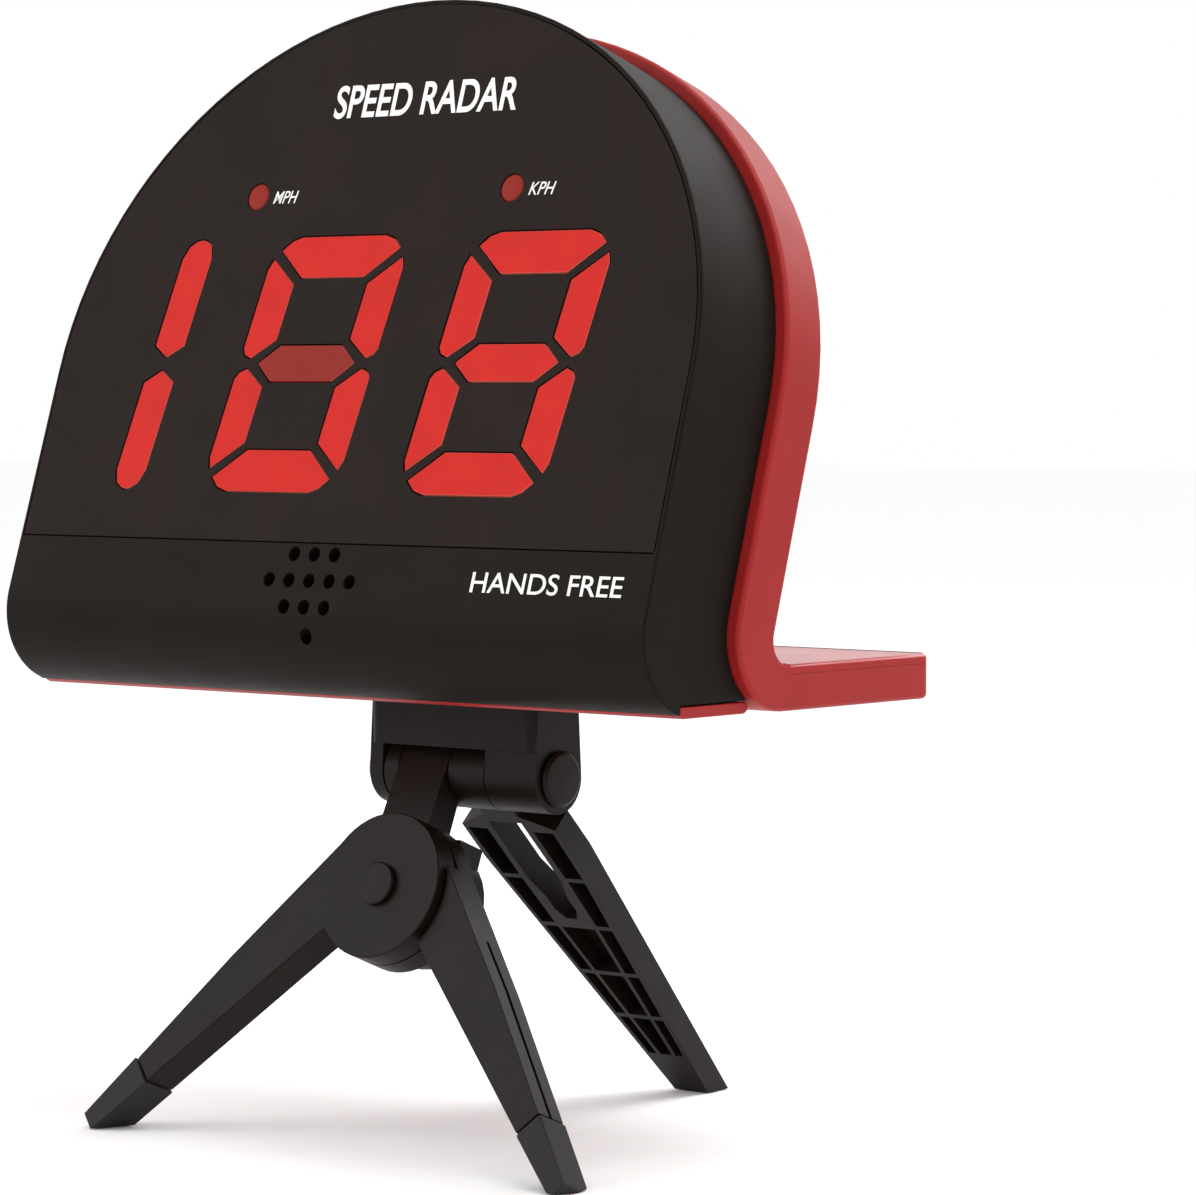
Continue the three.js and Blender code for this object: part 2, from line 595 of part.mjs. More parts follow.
function buildHead() {
  const head = new THREE.Group();
  const leaning = new THREE.Group();
  leaning.rotation.x = -LEAN;
  head.add(leaning);
  part(leaning, 'front_housing', 'case_black', frontHousing());
  part(leaning, 'display_window', 'window_black', displayWindow());
  for (const figure of FIGURES) {
    part(leaning, figure.name, 'lamp_red', digitModule(figure));
  }
  part(leaning, 'lamp_mph', 'lamp_red', indicatorLamp(MPH_X));
  part(leaning, 'lamp_kph', 'lamp_red', indicatorLamp(KPH_X));
  part(leaning, 'display_board', 'circuit_green', displayBoard());
  part(leaning, 'main_board', 'circuit_green', mainBoard());
  part(leaning, 'radar_antenna', 'circuit_green', radarAntenna());
  part(leaning, 'antenna_shield', 'steel', antennaShield());
  part(leaning, 'speaker', 'steel', speaker());
  part(leaning, 'battery_box', 'case_black', batteryBox());
  for (let i = 0; i < 4; i += 1) {
    const cell = part(leaning, `battery_${i + 1}`, 'cell_wrap', batteryCell());
    const up = i % 2 === 0 ? 1 : -1;
    cell.rotation.x = up > 0 ? 0 : Math.PI;
    cell.position.set((i - 1.5) * CELL_PITCH, CELL_DEPTH, BAY_MIDDLE - up * CELL_LENGTH / 2);
  }
  part(leaning, 'contact_lower', 'steel', contactStrip(8, 9.8));
  part(leaning, 'contact_upper', 'steel', contactStrip(62.2, 64));
  part(leaning, 'battery_door', 'case_red', batteryDoor());
  buttonPlaces().forEach((x, i) => {
    part(leaning, BUTTON_NAMES[i], 'case_black', button(x));
  });
  part(leaning, 'button_board', 'circuit_green', buttonBoard());
  SCREW_PLACES.forEach(([x, z], i) => {
    const solid = screw(SCREW_HEAD_RADIUS, SHANK_RADIUS, CASE_SCREW_LENGTH);
    const fastener = part(leaning, `case_screw_${i + 1}`, 'steel', solid);
    fastener.rotation.x = Math.PI / 2;
    fastener.position.set(x, PANEL_REAR - 0.7, z);
  });
  part(head, 'rear_cover', 'case_red', rearCover());
  part(head, 'foot_cover', 'case_red', footCover());
  part(head, 'base_plate', 'case_red', basePlate());
  FOOT_SCREWS.forEach(([x, y], i) => {
    const solid = screw(FOOT_SCREW_HEAD, SHANK_RADIUS, FOOT_SCREW_LENGTH);
    const fastener = part(head, `foot_screw_${i + 1}`, 'steel', solid);
    fastener.position.set(x, y, BASE_LEVEL + 0.2);
  });
  const insert = rodZ(INSERT_RADIUS, BASE_LEVEL + 0.2, FOOT_INNER_TOP, 0, PIVOT_Y, 24);
  const bore = rodZ(INSERT_BORE, BASE_LEVEL - 2, FOOT_TOP, 0, PIVOT_Y, 24);
  part(head, 'tripod_insert', 'brass', insert.subtract(bore));
  return head;
}

// ---------------------------------------------------------------- tripod: parts
function barrelSegment([x0, x1]) {
  return rodX(BARREL_RADIUS, x0, x1, PIVOT_Y, BARREL_Z);
}

const pinHole = () => rodX(PIN_RADIUS + GAP, -40, 40, PIVOT_Y, BARREL_Z, 20);

function tiltBlock() {
  const top = BASE_LEVEL - GAP;
  const { leftEar, rightEar } = BARREL_STATIONS;
  const ear = ([x0, x1]) => {
    const shape = new THREE.Shape();
    shape.moveTo(PIVOT_Y - BARREL_RADIUS, BARREL_Z);
    shape.absarc(PIVOT_Y, BARREL_Z, BARREL_RADIUS, Math.PI, Math.PI * 2, false);
    shape.lineTo(PIVOT_Y + BARREL_RADIUS - 1, top);
    shape.lineTo(PIVOT_Y - BARREL_RADIUS + 1, top);
    shape.closePath();
    return lateral(shape, x0, x1, 12);
  };
  const plan = roundedRectangle(-22, PIVOT_Y - 7.4, 21.5, PIVOT_Y + 6.6, 2.5);
  const relief = rodX(KNUCKLE_RELIEF, leftEar[1], rightEar[0], PIVOT_Y, BARREL_Z, 36);
  const platform = level(plan, BARREL_Z + PLATFORM_RISE, top, 4).subtract(relief);
  const stud = rodZ(3.4, top - 20, top + 5, 0, PIVOT_Y, 20);
  const headPocket = rodZ(5.6, BARREL_Z + 5, BARREL_Z + 11.4, 0, PIVOT_Y, 20);
  return cut(join(platform, ear(leftEar), ear(rightEar)), pinHole(), stud, headPocket);
}

function mountScrew() {
  return join(
    rodZ(3.1, BARREL_Z + 9, BASE_LEVEL + 5.6, 0, PIVOT_Y, 20),
    rodZ(5.2, BARREL_Z + 8.4, BARREL_Z + 11, 0, PIVOT_Y, 20),
  );
}

function tiltPin() {
  return join(
    rodX(PIN_RADIUS, -23.4, 20, PIVOT_Y, BARREL_Z, 20),
    rodX(4.6, -24.6, -22.4, PIVOT_Y, BARREL_Z, 24),
  );
}

function pinCap() {
  const profile = [[0, 0.4], [5.6, 0.4], [5.6, 0.8], [4.9, 1.4], [0, 1.7]];
  return turned(profile, 24).rotateY(Math.PI / 2).translate(21.5, PIVOT_Y, BARREL_Z);
}

// A point of the raked leg plane, depth and height, in the level frame.
function raked(depth, height) {
  const y = RIVET.y + depth * Math.cos(RAKE) + height * Math.sin(RAKE);
  const z = RIVET.z - depth * Math.sin(RAKE) + height * Math.cos(RAKE);
  return [y, z];
}

const HUB_FRONT = 11;
const HUB_BACK = 18;
const HUB_BOSS = 12;

function hub() {
  const [x0, x1] = BARREL_STATIONS.hubKnuckle;
  const boss = rodY(HUB_BOSS, HUB_FRONT, HUB_BACK, 0, 0, 32)
    .rotate([-RAKE / DEG, 0, 0])
    .translate([0, RIVET.y, RIVET.z]);
  const arm = polygon([
    raked(HUB_FRONT, 4), raked(HUB_BACK, 4), raked(HUB_BACK, HUB_BOSS + 2),
    [PIVOT_Y - 3.6, BARREL_Z - 6], [PIVOT_Y - 5.9, BARREL_Z + 3.7], raked(HUB_FRONT, HUB_BOSS + 3),
  ].reverse());
  const web = polygon([
    raked(HUB_FRONT, 0), raked(HUB_BACK, 0), raked(HUB_BACK, HUB_BOSS + 1), raked(HUB_FRONT, HUB_BOSS + 1),
  ].reverse());
  const rivetHole = rodY(RIVET_HOLE, 0, 30, 0, 0, 20)
    .rotate([-RAKE / DEG, 0, 0])
    .translate([0, RIVET.y, RIVET.z]);
  const solid = join(
    boss,
    lateral(arm, x0, x1),
    lateral(web, x0 + 1, 8),
    barrelSegment(BARREL_STATIONS.hubKnuckle),
  );
  return cut(solid, rivetHole, pinHole());
}

// How far a front blade's outer edge stands from the line through its rivet, "down" along the leg.
function bladeReach(down) {
  const [root, knee, tip] = BLADE_REACHES;
  return down < BLADE_KNEE
    ? root + (knee - root) * down / BLADE_KNEE
    : knee + (tip - knee) * (down - BLADE_KNEE) / (BLADE_TIP - BLADE_KNEE);
}

// Outline of a front leg's blade for the leg that swings to -X, tip down.
function bladeOutline(from, to, growth) {
  const stations = [from, BLADE_KNEE, to].filter((down) => down >= from && down <= to);
  const inner = BLADE_INNER + growth;
  return [[inner, -from], ...stations.map((down) => [-bladeReach(down) - growth, -down]), [inner, -to]];
}

// A band along the blade's outer edge, for the groove in its side.
function edgeBand(from, to, depth) {
  const stations = [from, BLADE_KNEE, to];
  const inside = stations.map((down) => [-bladeReach(down) + depth, -down]);
  const outside = stations.map((down) => [-bladeReach(down) - depth, -down]);
  return [...inside, ...outside.reverse()];
}

const legMatrix = (side) => new THREE.Matrix4()
  .makeTranslation(RIVET)
  .multiply(new THREE.Matrix4().makeRotationX(-RAKE))
  .multiply(new THREE.Matrix4().makeRotationY(side * SPREAD));

// Everything below the floor, in the frame of the given matrix.
function belowFloor(matrix) {
  const slab = new THREE.BoxGeometry(600, 600, 100).translate(0, 0, -SEAM_HEIGHT - 50);
  return toSolid(slab.applyMatrix4(matrix.clone().invert()));
}

function mirrored(points, side) {
  const flipped = points.map(([x, z]) => [x * side, z]);
  return orderedPolygon(flipped);
}

// side is +1 for the leg that swings to -X, and -1 for its mirror twin behind it.
const LAYOUT = {
  1: { blade: [0, 7.7], disc: [0, DISC_THICKNESS], neighbour: [DISC_THICKNESS, 20] },
  '-1': {
    blade: [1.8, 9.6],
    disc: [DISC_THICKNESS + GAP, 2 * DISC_THICKNESS + GAP],
    neighbour: [-5, DISC_THICKNESS + GAP],
  },
};

function frontLeg(side) {
  const { blade: [front, back], disc, neighbour } = LAYOUT[side];
  const middle = (front + back) / 2;
  const end = BOOT_START - GAP;
  const { from, depth, half } = SIDE_GROOVE;
  const blade = frontal(mirrored(bladeOutline(0, end, 0), side), front, back);
  const groove = frontal(mirrored(edgeBand(from, end + 1, depth), side), middle - half, middle + half);
  const clearance = rodY(DISC_RADIUS + 0.6, ...neighbour, 0, 0, 48);
  const tongueOutline = bladeOutline(BOOT_START - 2, BOOT_START + 7, -1.5);
  const tongue = frontal(mirrored(tongueOutline, side), front + TONGUE_INSET, back - TONGUE_INSET);
  const hole = rodY(RIVET_HOLE, -5, 25, 0, 0, 20);
  return cut(join(cut(blade, clearance, groove), rodY(DISC_RADIUS, ...disc, 0, 0, 48), tongue), hole);
}

function frontBoot(side) {
  const [front, back] = LAYOUT[side].blade;
  const outline = bladeOutline(BOOT_START, LEG_LENGTH, 0.3);
  const socketOutline = bladeOutline(BOOT_START - 3, BOOT_START + 7.3, -1.2);
  const boot = frontal(mirrored(outline, side), front - GAP, back + GAP);
  const socket = frontal(mirrored(socketOutline, side), front + TONGUE_INSET, back - TONGUE_INSET);
  return cut(boot, socket, belowFloor(legMatrix(side)));
}

function legRivet() {
  return join(
    rodY(4.3, -1.3, -0.3, 0, 0, 28),
    rodY(2.6, -0.6, 19.2, 0, 0, 20),
    rodY(4.3, 18.3, 19.6, 0, 0, 24),
  );
}

// Half the rear leg's width at a distance down from its pivot.
function rearHalf(down) {
  return down <= REAR_SHOULDER
    ? REAR_ROOT_HALF
    : REAR_ROOT_HALF - (down - REAR_SHOULDER) * REAR_TAPER;
}

// Half the distance between the two ribs that run on from the slot's walls.
const ribHalf = (down) => Math.min(5.5, 5.5 - (down - 34) * 0.07);

// The four corners of a strip down the leg between two widths that vary along it.
function strip(top, bottom, inner, outer) {
  return orderedPolygon([
    [inner(top), -top], [outer(top), -top], [outer(bottom), -bottom], [inner(bottom), -bottom],
  ]);
}

const rearMatrix = new THREE.Matrix4()
  .makeTranslation(REAR_X, PIVOT_Y, BARREL_Z)
  .multiply(new THREE.Matrix4().makeRotationX(REAR_SWING));

const REAR_FRONT = -3.5;
const REAR_BACK = 2;

function rearLeg() {
  const [x0, x1] = BARREL_STATIONS.rearKnuckle;
  const half = (x1 - x0) / 2;
  const side = [[half, -3], [half, -8.4], [rearHalf(0), -12], [rearHalf(0), -REAR_SHOULDER],
    [rearHalf(REAR_LENGTH), -REAR_LENGTH]];
  const outline = [...side, ...flipped(side, -1, 1).reverse()];
  const plate = frontal(orderedPolygon(outline), REAR_FRONT, REAR_BACK);
  const pocketDepth = [REAR_FRONT - 1, REAR_BACK - 1.6];
  const halfRib = 0.5;
  const pockets = REAR_MIDDLE_POCKETS.map(([top, bottom]) => (
    frontal(strip(top, bottom, (d) => halfRib - ribHalf(d), (d) => ribHalf(d) - halfRib), ...pocketDepth)
  ));
  for (const [top, bottom] of REAR_SIDE_POCKETS) {
    for (const sign of [-1, 1]) {
      const inner = (down) => sign * (ribHalf(down) + halfRib);
      const outer = (down) => sign * (rearHalf(down) - REAR_WALL);
      pockets.push(frontal(strip(top, bottom, inner, outer), ...pocketDepth));
    }
  }
  const slot = frontal(orderedPolygon(REAR_SLOT), -10, 10);
  const knuckle = rodX(BARREL_RADIUS, -half, half, 0, 0);
  const hole = rodX(PIN_RADIUS + GAP, -20, 20, 0, 0, 20);
  return cut(join(cut(plate, slot, ...pockets), knuckle), hole, belowFloor(rearMatrix));
}

function buildTripod() {
  const tripod = new THREE.Group();
  part(tripod, 'tilt_block', 'tripod_black', tiltBlock());
  part(tripod, 'mount_screw', 'steel', mountScrew());
  part(tripod, 'tilt_washer', 'tripod_black', cut(barrelSegment(BARREL_STATIONS.washer), pinHole()));
  part(tripod, 'tilt_pin', 'steel', tiltPin());
  part(tripod, 'pin_cap', 'tripod_black', pinCap());
  part(tripod, 'hub', 'tripod_black', hub());
  for (const side of [1, -1]) {
    const leg = new THREE.Group();
    leg.applyMatrix4(legMatrix(side));
    tripod.add(leg);
    const name = side > 0 ? 'left' : 'right';
    part(leg, `leg_${name}`, 'tripod_black', frontLeg(side));
    part(leg, `boot_${name}`, 'boot_rubber', frontBoot(side));
  }
  const plane = new THREE.Group();
  plane.position.copy(RIVET);
  plane.rotation.x = -RAKE;
  tripod.add(plane);
  part(plane, 'leg_rivet', 'tripod_black', legRivet());
  const rear = new THREE.Group();
  rear.applyMatrix4(rearMatrix);
  tripod.add(rear);
  part(rear, 'leg_rear', 'tripod_black', rearLeg());
  return tripod;
}

// ---------------------------------------------------------------- the object
// The origin is the middle of the bounding box's base, on the surface the tripod stands on.
const assembly = new THREE.Group();
assembly.add(buildHead(), buildTripod());
assembly.updateMatrixWorld(true);
const bounds = new THREE.Box3().setFromObject(assembly, true);
assembly.position.set(0, -(bounds.min.y + bounds.max.y) / 2, SEAM_HEIGHT);

const radar = new THREE.Group();
radar.add(assembly);
radar.updateMatrixWorld(true);

export default radar;
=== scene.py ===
"""Looks of the tabletop speed radar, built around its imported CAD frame. Metres, row frame."""
import json
import math

import bmesh
import bpy
from mathutils import Matrix, Vector

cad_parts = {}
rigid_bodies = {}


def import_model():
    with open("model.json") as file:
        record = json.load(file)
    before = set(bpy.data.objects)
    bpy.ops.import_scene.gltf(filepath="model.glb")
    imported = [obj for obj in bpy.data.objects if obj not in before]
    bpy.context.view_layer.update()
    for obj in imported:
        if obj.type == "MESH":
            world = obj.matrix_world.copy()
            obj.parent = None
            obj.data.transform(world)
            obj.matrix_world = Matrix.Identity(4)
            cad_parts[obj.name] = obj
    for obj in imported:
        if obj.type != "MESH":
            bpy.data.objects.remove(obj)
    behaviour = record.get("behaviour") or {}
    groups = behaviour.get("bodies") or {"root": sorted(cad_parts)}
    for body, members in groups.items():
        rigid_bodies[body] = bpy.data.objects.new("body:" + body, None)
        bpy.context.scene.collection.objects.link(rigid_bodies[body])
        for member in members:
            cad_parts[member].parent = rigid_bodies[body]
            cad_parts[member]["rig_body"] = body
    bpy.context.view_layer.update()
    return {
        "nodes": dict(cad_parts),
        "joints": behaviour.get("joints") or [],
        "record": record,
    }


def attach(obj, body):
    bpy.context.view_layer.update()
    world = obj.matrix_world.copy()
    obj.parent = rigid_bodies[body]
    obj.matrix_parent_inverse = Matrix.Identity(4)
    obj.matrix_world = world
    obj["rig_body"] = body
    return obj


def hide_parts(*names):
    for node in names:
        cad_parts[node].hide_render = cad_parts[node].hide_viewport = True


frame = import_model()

MM = 0.001
SCENE = bpy.context.scene
NODES = frame["nodes"]
SLOT_OF = {row["node"]: row["material_slot"] for row in frame["record"]["subparts"]}
JOINTS = {joint["name"]: joint for joint in frame["joints"]}

# The head's own frame: it leans back about X, and its origin is the middle of the window seam.
LEAN = math.radians(17.6)
PAN_FROM_SEAM = Vector((0, 45, -30)) * MM
SEAM = Vector(JOINTS["head_pan"]["pos_m"]) - PAN_FROM_SEAM
HEAD = Matrix.Translation(SEAM) @ Matrix.Rotation(-LEAN, 4, "X")

# ---------------------------------------------------------------- camera
CAMERA_FROM_SEAM = Vector((587.0, -628.9, 30.0)) * MM
CAMERA_PITCH = math.radians(87.3)
CAMERA_YAW = math.radians(39.5)
CAMERA_LENS = 135.9
CAMERA_SENSOR = 36
CAMERA_NEAR = 0.05


def make_camera():
    data = bpy.data.cameras.new("camera")
    data.lens = CAMERA_LENS
    data.sensor_width = CAMERA_SENSOR
    data.clip_start = CAMERA_NEAR
    camera = bpy.data.objects.new("camera", data)
    camera.location = SEAM + CAMERA_FROM_SEAM
    camera.rotation_euler = (CAMERA_PITCH, 0, CAMERA_YAW)
    SCENE.collection.objects.link(camera)
    SCENE.camera = camera


# ---------------------------------------------------------------- materials
def srgb(red, green, blue):
    def linear(value):
        value /= 255
        return value / 12.92 if value <= 0.04045 else ((value + 0.055) / 1.055) ** 2.4

    return (linear(red), linear(green), linear(blue), 1)


def new_material(name):
    material = bpy.data.materials.new(name)
    material.use_nodes = True
    tree = material.node_tree
    return material, tree, tree.nodes["Principled BSDF"]


def noise(tree, scale, detail=4.0):
    """A fine random pattern that sticks to the object."""
    place = tree.nodes.new("ShaderNodeTexCoord")
    texture = tree.nodes.new("ShaderNodeTexNoise")
    texture.inputs["Scale"].default_value = scale
    texture.inputs["Detail"].default_value = detail
    tree.links.new(place.outputs["Object"], texture.inputs["Vector"])
    return texture.outputs["Fac"]


RAMP_ENDS = (0.3, 0.7)


def vary_colour(tree, shader, colour, spread, scale):
    """The colour wanders a little, by the share "spread" either way."""
    ramp = tree.nodes.new("ShaderNodeValToRGB")
    low, high = ramp.color_ramp.elements
    low.position, high.position = RAMP_ENDS
    low.color = tuple(c * (1 - spread) for c in colour[:3]) + (1,)
    high.color = tuple(min(1, c * (1 + spread)) for c in colour[:3]) + (1,)
    tree.links.new(noise(tree, scale), ramp.inputs["Fac"])
    tree.links.new(ramp.outputs["Color"], shader.inputs["Base Color"])


def vary_roughness(tree, shader, roughness, spread, scale):
    """The roughness wanders by "spread" either way."""
    remap = tree.nodes.new("ShaderNodeMapRange")
    remap.inputs["To Min"].default_value = roughness - spread
    remap.inputs["To Max"].default_value = roughness + spread
    tree.links.new(noise(tree, scale, detail=6), remap.inputs["Value"])
    tree.links.new(remap.outputs["Result"], shader.inputs["Roughness"])


def grain_bump(tree, shader, scale, distance, strength):
    """A moulded or brushed grain, in the normals only."""
    bump = tree.nodes.new("ShaderNodeBump")
    bump.inputs["Strength"].default_value = strength
    bump.inputs["Distance"].default_value = distance
    tree.links.new(noise(tree, scale, detail=3), bump.inputs["Height"])
    tree.links.new(bump.outputs["Normal"], shader.inputs["Normal"])


def plastic(name, colour, roughness, grain, depth, strength, spread, specular):
    material, tree, shader = new_material(name)
    shader.inputs["Specular IOR Level"].default_value = specular
    vary_colour(tree, shader, colour, spread, scale=55)
    vary_roughness(tree, shader, roughness, spread=0.05, scale=120)
    grain_bump(tree, shader, grain, depth, strength)
    return material


def metal(name, colour, roughness):
    material, tree, shader = new_material(name)
    shader.inputs["Metallic"].default_value = 1
    vary_colour(tree, shader, colour, spread=0.15, scale=90)
    vary_roughness(tree, shader, roughness, spread=0.08, scale=300)
    grain_bump(tree, shader, scale=900, distance=0.00002, strength=0.25)
    return material


def glowing(name, colour, strength, roughness):
    material, tree, shader = new_material(name)
    vary_colour(tree, shader, colour, spread=0.06, scale=180)
    vary_roughness(tree, shader, roughness, spread=0.05, scale=400)
    grain_bump(tree, shader, scale=1500, distance=0.00002, strength=0.15)
    shader.inputs["Specular IOR Level"].default_value = LIGHT_SPECULAR
    shader.inputs["Emission Color"].default_value = colour
    shader.inputs["Emission Strength"].default_value = strength
    return material


PLASTICS = [
    # name, colour, roughness, grain scale, grain depth, grain strength, colour spread, specular
    ("case_black", (22, 16, 13), 0.5, 2400, 0.00004, 0.4, 0.12, 0.06),
    ("window_black", (30, 22, 19), 0.7, 4200, 0.00002, 0.25, 0.12, 0.1),
    ("case_red", (144, 30, 29), 0.45, 2000, 0.00003, 0.25, 0.07, 0.16),
    # The foot top: the case red painted paler and glossier, a painted highlight for the light from above, not
    # a different plastic.
    ("foot_red", (166, 44, 44), 0.26, 900, 0.00008, 0.3, 0.07, 1.0),
    ("tripod_black", (20, 15, 12), 0.44, 1500, 0.00005, 0.35, 0.12, 0.12),
    ("boot_rubber", (30, 27, 26), 0.72, 1800, 0.00006, 0.5, 0.12, 0.3),
    ("circuit_green", (24, 84, 48), 0.4, 900, 0.00003, 0.3, 0.12, 0.5),
    ("cell_wrap", (120, 120, 124), 0.3, 700, 0.00002, 0.2, 0.12, 0.5),
    ("label_white", (222, 222, 218), 0.6, 3000, 0.00002, 0.2, 0.04, 0.5),
    ("speaker_dark", (22, 20, 19), 0.8, 800, 0.0001, 0.6, 0.12, 0.5),
    ("floor", (252, 252, 252), 0.9, 60, 0.0004, 0.05, 0.01, 0.1),
]
METALS = [("steel", (186, 186, 188)), ("brass", (196, 156, 88))]
METAL_ROUGHNESS = 0.34
LIGHTS = [
    # name, colour, strength
    ("lamp_red", (170, 22, 14), 0.22),
    ("lamp_edge", (188, 82, 70), 0.4),
    ("lamp_dim", (118, 24, 16), 0.2),
]
LIGHT_ROUGHNESS = 0.65
LIGHT_SPECULAR = 0.2


def make_materials():
    made = {}
    for name, colour, *values in PLASTICS:
        made[name] = plastic(name, srgb(*colour), *values)
    for name, colour in METALS:
        made[name] = metal(name, srgb(*colour), METAL_ROUGHNESS)
    for name, colour, strength in LIGHTS:
        made[name] = glowing(name, srgb(*colour), strength, LIGHT_ROUGHNESS)
    return made


MATERIALS = make_materials()


# ---------------------------------------------------------------- pieces from the CAD shapes
WELD = 0.02
FLAT_ANGLE = math.radians(1)
EDGE_ANGLE = math.radians(32)
CRISP_ANGLE = math.radians(40)


def dissolve_facets(mesh):
    """The mesh with its vertices welded and its flat faces whole."""
    bm = bmesh.new()
    bm.from_mesh(mesh)
    bmesh.ops.remove_doubles(bm, verts=bm.verts, dist=WELD * MM)
    bmesh.ops.dissolve_limit(bm, angle_limit=FLAT_ANGLE, verts=bm.verts, edges=bm.edges)
    bm.to_mesh(mesh)
    bm.free()


def applied(piece):
    """The piece with its modifiers turned into mesh."""
    graph = bpy.context.evaluated_depsgraph_get()
    final = bpy.data.meshes.new_from_object(piece.evaluated_get(graph))
    piece.modifiers.clear()
    piece.data = final
    return piece


def smoothed(piece):
    """Smooth shading that keeps flat faces flat and corners over the crisp angle sharp."""
    for face in piece.data.polygons:
        face.use_smooth = True
    piece.data.set_sharp_from_angle(angle=CRISP_ANGLE)
    modifier = piece.modifiers.new("flat_faces", "WEIGHTED_NORMAL")
    modifier.keep_sharp = True
    return applied(piece)


def bevelled(piece, width, segments=3):
    """The piece with every edge over the edge angle rounded, its width in mm."""
    modifier = piece.modifiers.new("edges", "BEVEL")
    modifier.width = width * MM
    modifier.segments = segments
    modifier.limit_method = "ANGLE"
    modifier.angle_limit = EDGE_ANGLE
    modifier.use_clamp_overlap = True
    modifier.harden_normals = False
    applied(piece)
    return smoothed(piece)


def copied(node):
    """A copy of a CAD node with whole flat faces, ready to be rounded."""
    piece = bpy.data.objects.new(node + "_moulded", NODES[node].data.copy())
    SCENE.collection.objects.link(piece)
    dissolve_facets(piece.data)
    return piece


def standing_for(piece, node, finish):
    """The piece takes a finish, rides the node's body and is shown in the node's place."""
    piece.data.materials.clear()
    piece.data.materials.append(MATERIALS[finish])
    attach(piece, NODES[node]["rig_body"])
    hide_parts(node)
    return piece


def refined(node, width, segments=3, finish=None):
    """A copy of a CAD node with all its edges rounded, which stands for the node."""
    piece = bevelled(copied(node), width, segments)
    return standing_for(piece, node, finish or SLOT_OF[node])


# Places on the mouldings in mm from the window seam: level places, and the D of the leaning outline.
SEAM_LEVEL = -23.2
SEAM_START = 35.0
SEAM_CLOSING = 0.25
SKIN_UNDERSIDE = SEAM_LEVEL + 0.2
SKIN_FRONT = SEAM_START + 1.5
SKIN_TOP = SEAM_LEVEL + 0.9
# Skin faces whose normal rises above this take the painted highlight.
PAINTED_HIGHLIGHT_UPWARD = 0.3
BESIDE_SKIN_FRONT = SEAM_START - 0.6
BESIDE_SKIN_LOW = SEAM_LEVEL - 0.8
BESIDE_SKIN_HIGH = SEAM_LEVEL + 1.8
FOOT_END = 82.2
FOOT_REAR = FOOT_END - 5
CHIN_TOP = -8.0
CHIN_BACK = 6.0
FACE_DEPTH = 0.1
OUTLINE_HALF = 82.3
SPRING_LINE = 34.1
ARCH_RISE = 76.0
COVER_GROWTH = 2.5
OUTLINE_SLACK = 0.6
# Edges that are rounded on the three big mouldings: width in mm and segments.
COVER_EDGE = (0.9, 4)
HOUSING_EDGE = (0.5, 3)


def on_outline(place, growth):
    """Whether a point, in mm from the seam and leaning with the head, lies on the D grown by "growth"."""
    half = OUTLINE_HALF + growth
    if place.z <= SPRING_LINE:
        return abs(place.x) > half - OUTLINE_SLACK
    across = place.x / half
    up = (place.z - SPRING_LINE) / (ARCH_RISE + growth)
    return math.hypot(across, up) > 1 - OUTLINE_SLACK / half


def leaning(point):
    """A place in mm from the seam, along the leaning head's own axes."""
    return (HEAD.inverted() @ point) / MM


def level(point):
    """A place in mm from the seam, along the upright axes."""
    return (point - SEAM) / MM


def rounded(node, edge_shape, wanted, before=None):
    """A copy of a CAD node with its wanted sharp edges rounded, which stands for the node."""
    piece = copied(node)
    bm = bmesh.new()
    bm.from_mesh(piece.data)
    if before:
        before(bm)
    edges = [
        edge for edge in bm.edges
        if len(edge.link_faces) == 2
        and edge.calc_face_angle(0) > EDGE_ANGLE
        and all(wanted(vert.co) for vert in edge.verts)
    ]
    width, segments = edge_shape
    bmesh.ops.bevel(
        bm, geom=edges, offset=width * MM, segments=segments, profile=0.5, affect="EDGES", clamp_overlap=False
    )
    bm.to_mesh(piece.data)
    bm.free()
    return standing_for(smoothed(piece), node, SLOT_OF[node])


def close_seam(bm):
    """The foot's skin reaches almost to the foot under it, so that the joint is a fine line."""
    for vert in bm.verts:
        place = level(vert.co)
        if place.z < SKIN_UNDERSIDE:
            vert.co.z -= SEAM_CLOSING * MM
        if place.y < SKIN_FRONT:
            vert.co.y -= SEAM_CLOSING * MM


def refine_foot_skin():
    """The skin on the foot is rounded at its rim, and what faces up takes a paler red, a painted highlight
    for the light from above.
    """
    def rim(point):
        place = level(point)
        at_side = abs(place.x) > OUTLINE_HALF + COVER_GROWTH - OUTLINE_SLACK
        return place.z > SKIN_TOP and (at_side or place.y > FOOT_REAR)

    skin = rounded("foot_cover", COVER_EDGE, rim, close_seam).data
    skin.materials.append(MATERIALS["foot_red"])
    # Upward faces take the paler red, a painted highlight.
    for face in skin.polygons:
        face.material_index = 1 if face.normal.z > PAINTED_HIGHLIGHT_UPWARD else 0


def refine_rear_cover():
    """The L-shaped cover is rounded along the D and the foot's end, but not beside the skin."""
    def rim(point):
        place = level(point)
        beside_skin = place.y > BESIDE_SKIN_FRONT and BESIDE_SKIN_LOW < place.z < BESIDE_SKIN_HIGH
        foot_end = place.z < SEAM_LEVEL and place.y > FOOT_REAR
        return not beside_skin and (on_outline(leaning(point), COVER_GROWTH) or foot_end)

    rounded("rear_cover", COVER_EDGE, rim)


def refine_front_housing():
    """The black shell is rounded where its face and its chin meet the D."""
    def rim(point):
        below = level(point)
        on_chin = below.z < CHIN_TOP and below.y < CHIN_BACK
        place = leaning(point)
        return (place.y < FACE_DEPTH or on_chin) and on_outline(place, 0)

    rounded("front_housing", HOUSING_EDGE, rim)


def paint(node, finish):
    """A CAD node keeps its shape and takes a finish."""
    slots = NODES[node].data.materials
    if not slots:
        slots.append(MATERIALS[finish])
    slots[0] = MATERIALS[finish]


